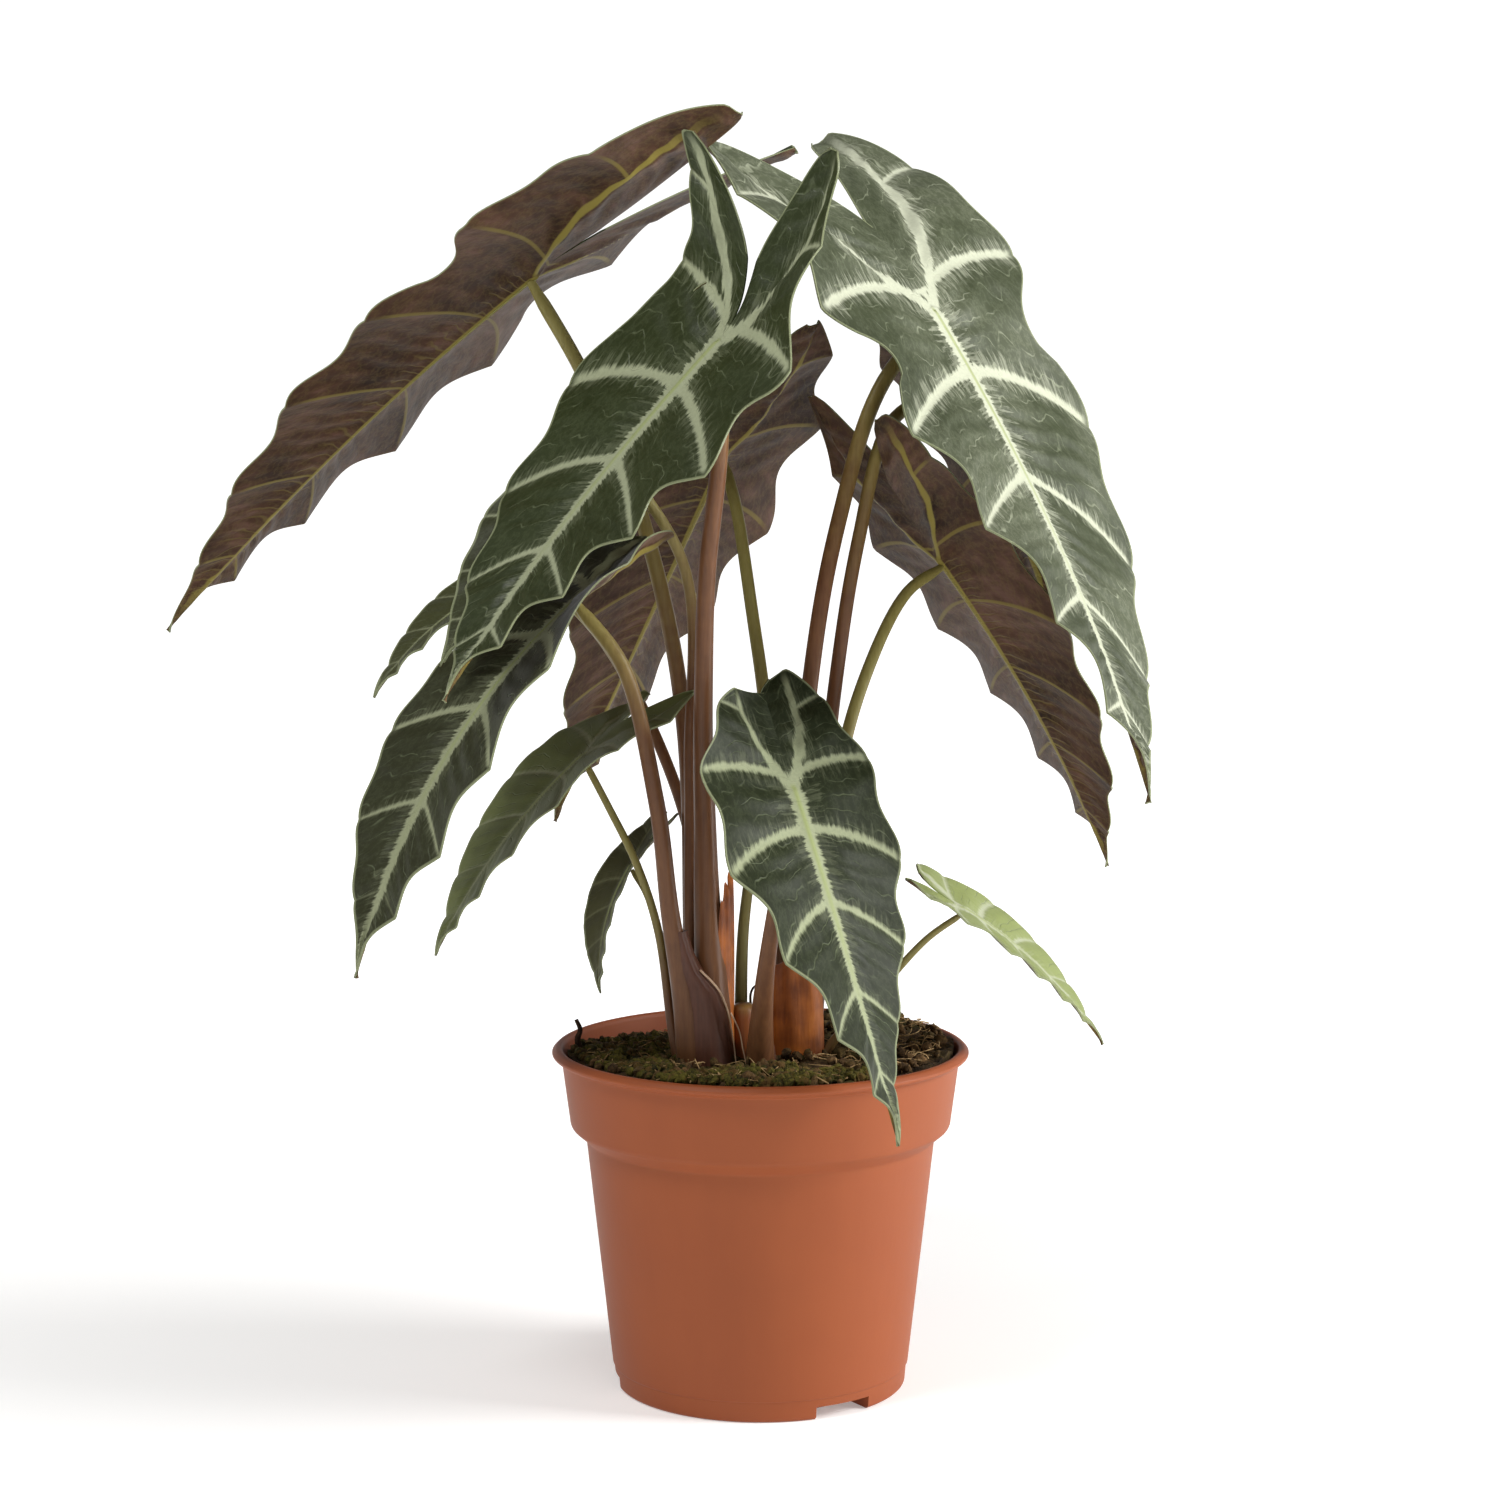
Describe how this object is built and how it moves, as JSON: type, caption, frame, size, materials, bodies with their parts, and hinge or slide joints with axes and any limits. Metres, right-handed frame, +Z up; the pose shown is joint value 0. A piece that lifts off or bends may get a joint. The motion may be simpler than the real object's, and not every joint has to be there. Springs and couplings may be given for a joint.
{
  "type": "potted alocasia",
  "caption": "Arrow-leaved house plant with pale veins on dark glossy blades, purple undersides and upright stalks, growing in a round terracotta-coloured nursery pot.",
  "frame": {"origin": "centre of the pot's flat underside, where it stands on the table", "axes": "+Z is up; -Y is the front that the picture shows; +X is the picture's right"},
  "size_m": [0.2874, 0.1676, 0.3633],
  "materials": {
    "pot": "satin",
    "soil": "matte",
    "moss": "matte",
    "leaf_blade": "satin",
    "stalk": "satin",
    "dry_sheath": "matte",
    "crown": "matte"
  },
  "bodies": {
    "root": {"crown_front": "crown", "crown_left": "crown", "crown_right": "crown", "cut_stump": "stalk", "leaf_back_centre": "leaf_blade", "leaf_back_right": "leaf_blade", "leaf_front_low": "leaf_blade", "leaf_hidden_right": "leaf_blade", "leaf_high_front": "leaf_blade", "leaf_lower_left": "leaf_blade", "leaf_small_left": "leaf_blade", "leaf_tucked_back_left": "leaf_blade", "leaf_tucked_left": "leaf_blade", "leaf_upper_left": "leaf_blade", "leaf_upper_right": "leaf_blade", "leaf_young_left": "leaf_blade", "leaf_young_right": "leaf_blade", "moss_front": "moss", "moss_left": "moss", "pot": "pot", "sheath_left": "dry_sheath", "sheath_right": "dry_sheath", "soil": "soil", "spare_stalk": "stalk", "stalk_back_centre": "stalk", "stalk_back_right": "stalk", "stalk_front_low": "stalk", "stalk_hidden_right": "stalk", "stalk_high_front": "stalk", "stalk_lower_left": "stalk", "stalk_small_left": "stalk", "stalk_tucked_back_left": "stalk", "stalk_tucked_left": "stalk", "stalk_upper_left": "stalk", "stalk_upper_right": "stalk", "stalk_young_left": "stalk", "stalk_young_right": "stalk"}
  },
  "joints": []
}
